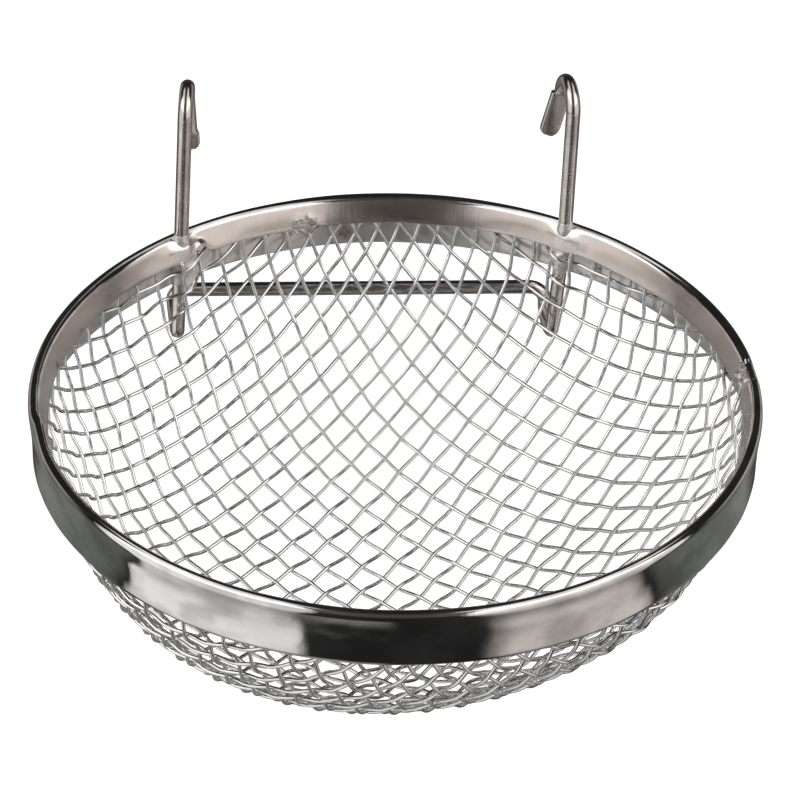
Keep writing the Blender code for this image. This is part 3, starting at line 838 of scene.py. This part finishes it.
def make_hanger(material):
    left = hanger_half("left")
    right = hanger_half("right")
    # Both halves start at the crossbar's middle, so the left one is walked backwards
    mirrored = left[:0:-1, -np.arange(HANGER_SIDES) % HANGER_SIDES]
    rings = np.concatenate([mirrored, right])
    wear = ROD_WEAR * noise_at(rings, ROD_WEAR_WAVELENGTH, ROD_WEAR_SEED)
    away = rings - rings.mean(axis=1, keepdims=True)
    away = away / np.maximum(np.linalg.norm(away, axis=2, keepdims=True), TINY)
    mesh = ring_mesh("hanger_rod", rings + away * wear[..., None])
    make_piece("hanger_rod", mesh, material, "hanger_wire")


# Solder

SOLDER_SPAN = {"left": (-7.2 * MM, 1.9 * MM), "right": (-7.6 * MM, 2.0 * MM)}
SOLDER_ROWS = 60
SOLDER_SIDES = 40
# Thickness of the run: everywhere, and in a collar and a smear (thickness, height, reach)
SOLDER_SKIN = 0.1 * MM
SOLDER_SWELLS = [(0.16 * MM, 0.7 * MM, 0.6 * MM), (0.3 * MM, -4.5 * MM, 2.2 * MM)]
SOLDER_TAPER_LOW, SOLDER_TAPER_HIGH = 8, 5
# Its mean share round the rod, how much more faces the bowl, and how far it may sink in
SOLDER_ROUND, SOLDER_FACING = 0.55, 0.45
SOLDER_SINK = 0.1 * MM
# Lumps: height, wavelength and seed, on a rod of radius 1 with its length in this unit
SOLDER_LUMPS = [(0.8, 0.55, 40), (0.4, 0.22, 44)]
SOLDER_LUMP_UNIT = 1.2 * MM


def make_solder(side, material):
    """Solder run down an upright inside the fold: a collar on the bead, a ragged smear below."""
    low, high = SOLDER_SPAN[side]
    angles = np.arange(SOLDER_SIDES) * math.tau / SOLDER_SIDES
    inwards = math.atan2(-UPRIGHT_Y[side], -UPRIGHT_X[side])
    facing = SOLDER_ROUND + SOLDER_FACING * np.cos(angles - inwards)
    rings = []
    for height in np.linspace(low, high, SOLDER_ROWS):
        share = (height - low) / (high - low)
        body = SOLDER_SKIN
        for thickness, middle, reach in SOLDER_SWELLS:
            body += thickness * math.exp(-(((height - middle) / reach) ** 2))
        body *= min(1, share * SOLDER_TAPER_LOW) * min(1, (1 - share) * SOLDER_TAPER_HIGH)
        level = np.full(SOLDER_SIDES, height)
        spots = np.stack([np.cos(angles), np.sin(angles), level / SOLDER_LUMP_UNIT], axis=-1)
        lump = layered(1, spots, SOLDER_LUMPS, SIDES[side])
        out = HANGER_RADIUS + np.maximum(body * facing * lump, -SOLDER_SINK)
        x = UPRIGHT_X[side] + lean_at(height, side) + out * np.cos(angles)
        y = UPRIGHT_Y[side] + out * np.sin(angles)
        rings.append(np.stack([x, y, level], axis=-1))
    name = f"solder_{side}_run"
    make_piece(name, ring_mesh(name, rings), material, f"solder_{side}")


FILM_COLUMNS = 28
FILM_ROWS = 44
FILM_THICKNESS = 0.16 * MM
# The film's half width and height in the noise that crumples it, and where its two ends read it
FILM_NOISE_WIDTH, FILM_NOISE_HEIGHT = 1.3, 3.0
FILM_NOISE_ENDS = [[5, 0, 0], [9, 0, 0]]
FILM_FRAY, FILM_FRAY_WAVELENGTH = 0.4, 0.5
FILM_TAPER = 0.35
FILM_EDGE, FILM_EDGE_WAVELENGTH, FILM_EDGE_SEED = 0.12, 0.35, 3
FILM_FOLDS = [(1, 0.7, 7), (0.5, 0.3, 8)]


def make_film(name, material, azimuths, heights, radius, crumple, seed):
    """A thin crumpled patch with ragged edges, bent round the rim's axis: solder or a torn flap."""
    columns = np.linspace(-1, 1, FILM_COLUMNS)
    own_noise = np.full(FILM_COLUMNS, float(seed))
    rings = []
    for share in np.linspace(0, 1, FILM_ROWS):
        level = np.full(FILM_COLUMNS, share * FILM_NOISE_HEIGHT)
        flat = np.stack([columns * FILM_NOISE_WIDTH, level, own_noise], axis=-1)
        ends = flat[[0, -1]] * (0, 1, 1) + FILM_NOISE_ENDS
        frayed = FILM_FRAY * np.abs(noise_at(ends, FILM_FRAY_WAVELENGTH))
        left, right = 1 - frayed - FILM_TAPER * (1 - share) ** 3
        spread = np.where(columns < 0, columns * left, columns * right)
        azimuth = np.radians(azimuths[0] + (azimuths[1] - azimuths[0]) * (spread + 1) / 2)
        edge = noise_at(flat * (1, 0, 1), FILM_EDGE_WAVELENGTH, FILM_EDGE_SEED)
        ragged = FILM_EDGE * edge * abs(2 * share - 1)
        height = heights[0] + (heights[1] - heights[0]) * (share + ragged)
        out = radius + crumple * layered(0, flat, FILM_FOLDS)
        skins = []
        for skin, order in ((out, 1), (out + FILM_THICKNESS, -1)):
            spots = [skin * np.cos(azimuth), skin * np.sin(azimuth), height]
            skins.append(np.stack(spots, axis=-1)[::order])
        rings.append(np.vstack(skins))
    make_piece(name, ring_mesh(name, rings), material)


LUMP_ROWS = 18
LUMP_SIDES = 24
LUMP_POLE = 0.12
LUMP_SWELLS = [(0.45, 0.8, 0), (0.2, 0.35, 1)]


def make_lump(name, point, size, seed, material):
    """A lumpy drop of solder."""
    angles = np.arange(LUMP_SIDES) * math.tau / LUMP_SIDES
    rings = []
    for polar in np.linspace(LUMP_POLE, math.pi - LUMP_POLE, LUMP_ROWS):
        x, y = np.sin(polar) * np.cos(angles), np.sin(polar) * np.sin(angles)
        spots = np.stack([x, y, np.full(LUMP_SIDES, -math.cos(polar))], axis=-1)
        swell = layered(1, spots, LUMP_SWELLS, seed)
        rings.append(np.asarray(point) + spots * swell[:, None] * np.asarray(size))
    make_piece(name, ring_mesh(name, rings), material)


# Solder in the seam: azimuth, radius, height and size of each drop
SEAM_DROPS = [
    (5.9, 53.5, 0.55, 0.9),
    (5.0, 53.3, 0.5, 1.0),
    (4.1, 53.1, 0.4, 0.9),
    (3.2, 53.2, 0.35, 1.0),
    (2.2, 53.3, 0.45, 0.9),
    (1.3, 53.5, 0.6, 0.8),
    (4.7, 52.7, -0.3, 0.8),
    (3.0, 52.6, -0.6, 0.8),
    (5.8, 52.5, -0.9, 0.7),
]
DROP_SHAPE = np.array([0.6, 0.8, 0.5])
DROP_SEED, DROP_SEED_STEP = 50, 3


def make_seam(material):
    for k, (azimuth, radius, height, size) in enumerate(SEAM_DROPS):
        point = rim_point(azimuth, radius, height)
        seed = DROP_SEED + DROP_SEED_STEP * k
        make_lump(f"seam_drop_{k + 1}", point, DROP_SHAPE * size * MM, seed, material)


# Studio and camera


def make_floor():
    low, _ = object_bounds()
    mesh = bpy.data.meshes.new("floor")
    signs = ((-1, -1), (1, -1), (1, 1), (-1, 1))
    corners = [(x * FLOOR_REACH, y * FLOOR_REACH, 0) for x, y in signs]
    mesh.from_pydata(corners, [], [(0, 1, 2, 3)])
    floor = bpy.data.objects.new("floor", mesh)
    floor.location = (RIM_ORIGIN.x, RIM_ORIGIN.y, low.z - FLOOR_BELOW)
    floor.visible_glossy = False
    bpy.context.scene.collection.objects.link(floor)
    material = bpy.data.materials.new("floor_paper")
    material.use_nodes = True
    tree = material.node_tree
    nodes = Nodes(tree)
    shader = tree.nodes["Principled BSDF"]
    shader.inputs["Base Color"].default_value = PAPER
    shader.inputs["Roughness"].default_value = PAPER_ROUGHNESS
    shader.inputs["Emission Color"].default_value = WHITE
    path = nodes.add("ShaderNodeLightPath")
    glow = nodes.math("MULTIPLY", path.outputs["Is Camera Ray"], FLOOR_GLOW)
    tree.links.new(glow, shader.inputs["Emission Strength"])
    mesh.materials.append(material)


DEGREES = 180 / math.pi
# What the metal reflects where no light is
DARK_ROOM = (0.019, 0.0187, 0.0187)


def studio_world():
    """A dark room with soft lights, in which the camera itself sees white paper.

    Two lights stand beside the camera, with a dark gap between them. Directions are in degrees:
    turned is to the right of the camera and azimuth to either side of it, elevation is upwards.
    Sideways is the share of a direction that goes left or right.
    """
    world = bpy.data.worlds.new("studio")
    bpy.context.scene.world = world
    world.use_nodes = True
    tree = world.node_tree
    nodes = Nodes(tree)

    def times(*values):
        total = values[0]
        for value in values[1:]:
            total = nodes.math("MULTIPLY", total, value)
        return total

    def over(value, low, high):
        return nodes.ramp(value, low, high)

    def under(value, low, high):
        return nodes.ramp(value, low, high, 1.0, 0.0)

    def without(value):
        return nodes.math("SUBTRACT", 1.0, value)

    coords = nodes.add("ShaderNodeTexCoord")
    parts = nodes.add("ShaderNodeSeparateXYZ", {0: coords.outputs["Generated"]}).outputs
    from_front = nodes.math("ARCTAN2", parts[0], times(parts[1], -1.0))
    turned = times(nodes.math("SUBTRACT", from_front, VIEW_AZIMUTH), DEGREES)
    azimuth = nodes.math("ABSOLUTE", turned)
    along_x = times(parts[0], math.cos(VIEW_AZIMUTH))
    along_y = times(parts[1], math.sin(VIEW_AZIMUTH))
    sideways = nodes.math("ABSOLUTE", nodes.math("ADD", along_x, along_y))
    elevation = times(nodes.math("ARCSINE", parts[2]), DEGREES)

    strip = times(under(sideways, 0.33, 0.40), over(elevation, -56, -44))
    open_sides = without(strip)
    floor_shade = nodes.ramp(elevation, -54, -37, 0.3, 1.0)
    front = times(under(azimuth, 90, 94), under(elevation, 46, 60), open_sides, floor_shade)
    low_right = times(over(turned, -4, 4), under(elevation, -25, -5))
    sides = times(front, without(low_right))
    dim_side = times(front, low_right, under(turned, 84, 96), over(sideways, 0.30, 0.52))
    boxes = times(
        under(azimuth, 82, 92), open_sides, over(elevation, 12, 22), under(elevation, 42, 56))
    overhead = times(over(sideways, 0.20, 0.32), over(elevation, 47, 55), under(azimuth, 158, 170))
    front_top = times(
        strip, over(elevation, -10, 15), under(elevation, 40, 85), under(azimuth, 60, 100))
    rear_glow = times(
        over(azimuth, 96, 112), under(azimuth, 149, 156),
        over(elevation, -20, -8), under(elevation, 8, 16))
    rear_dark = times(over(azimuth, 150, 165), over(elevation, -56, -44), under(elevation, 10, 18))
    rear_floor = times(
        over(azimuth, 93, 99), under(azimuth, 150, 165),
        under(elevation, -20, -8), over(azimuth, 50, 160))
    nadir = under(elevation, -68, -56)
    lights = [
        (sides, (0.82, 0.81, 0.80)),
        (dim_side, (0.54, 0.495, 0.47)),
        (boxes, (0.92, 0.90, 0.88)),
        (overhead, (0.92, 0.87, 0.84)),
        (front_top, (0.058, 0.055, 0.051)),
        (rear_glow, (0.33, 0.29, 0.265)),
        (rear_dark, (0.05, 0.042, 0.039)),
        (rear_floor, (0.17, 0.18, 0.172)),
        (nadir, (0.15, 0.14, 0.135)),
    ]
    total = nodes.add("ShaderNodeCombineXYZ", dict(enumerate(DARK_ROOM))).outputs[0]
    for share, colour in lights:
        lit = {0: colour, "Scale": share}
        lit = nodes.add("ShaderNodeVectorMath", lit, operation="SCALE").outputs[0]
        total = nodes.add("ShaderNodeVectorMath", {0: lit, 1: total}, operation="ADD").outputs[0]
    path = nodes.add("ShaderNodeLightPath")
    shade = nodes.mix(path.outputs["Is Camera Ray"], total, WHITE)
    tree.links.new(shade, tree.nodes["Background"].inputs["Color"])


def make_camera():
    a, e, r = VIEW_AZIMUTH, VIEW_ELEVATION, VIEW_ROLL
    back = Vector((math.sin(a) * math.cos(e), -math.cos(a) * math.cos(e), math.sin(e)))
    right = Vector((math.cos(a), math.sin(a), 0))
    up = back.cross(right)
    turned_right = right * math.cos(r) + up * math.sin(r)
    turned_up = up * math.cos(r) - right * math.sin(r)
    data = bpy.data.cameras.new("camera")
    data.lens = VIEW_LENS
    data.sensor_width = VIEW_SENSOR
    data.shift_x, data.shift_y = VIEW_SHIFT
    data.clip_start = VIEW_NEAR
    camera = bpy.data.objects.new("camera", data)
    turn = Matrix((turned_right, turned_up, back)).transposed().to_4x4()
    camera.matrix_world = Matrix.Translation(RIM_ORIGIN + back * VIEW_DISTANCE) @ turn
    bpy.context.scene.collection.objects.link(camera)
    bpy.context.scene.camera = camera


scuffed_plate = brushed_sheet("lip_plate", **LIP_PLATE)
matt_plate = brushed_sheet("inner_plate", **INNER_PLATE)
tin = solder_metal()
make_rim(polished_sheet(), scuffed_plate, matt_plate)
make_cloth(drawn_wire("cloth_plate", **CLOTH_PLATE))
make_hanger(drawn_wire("hanger_plate", **HANGER_PLATE))
for which in SIDES:
    make_solder(which, tin)
make_film("solder_left_film", tin, azimuths=(124.1, 126.9),
          heights=(-8.6 * MM, -2.0 * MM), radius=51.7 * MM, crumple=0.12 * MM, seed=1)
make_film("solder_right_film", tin, azimuths=(49.2, 55.6),
          heights=(-7.2 * MM, -1.9 * MM), radius=53.85 * MM, crumple=0.08 * MM, seed=2)
make_film("torn_flap", scuffed_plate, azimuths=(100.6, 105.4),
          heights=(-3.6 * MM, -1.2 * MM), radius=52.1 * MM, crumple=0.07 * MM, seed=3)
make_seam(tin)
make_floor()
studio_world()
make_camera()
bpy.context.scene.view_settings.view_transform = "Standard"
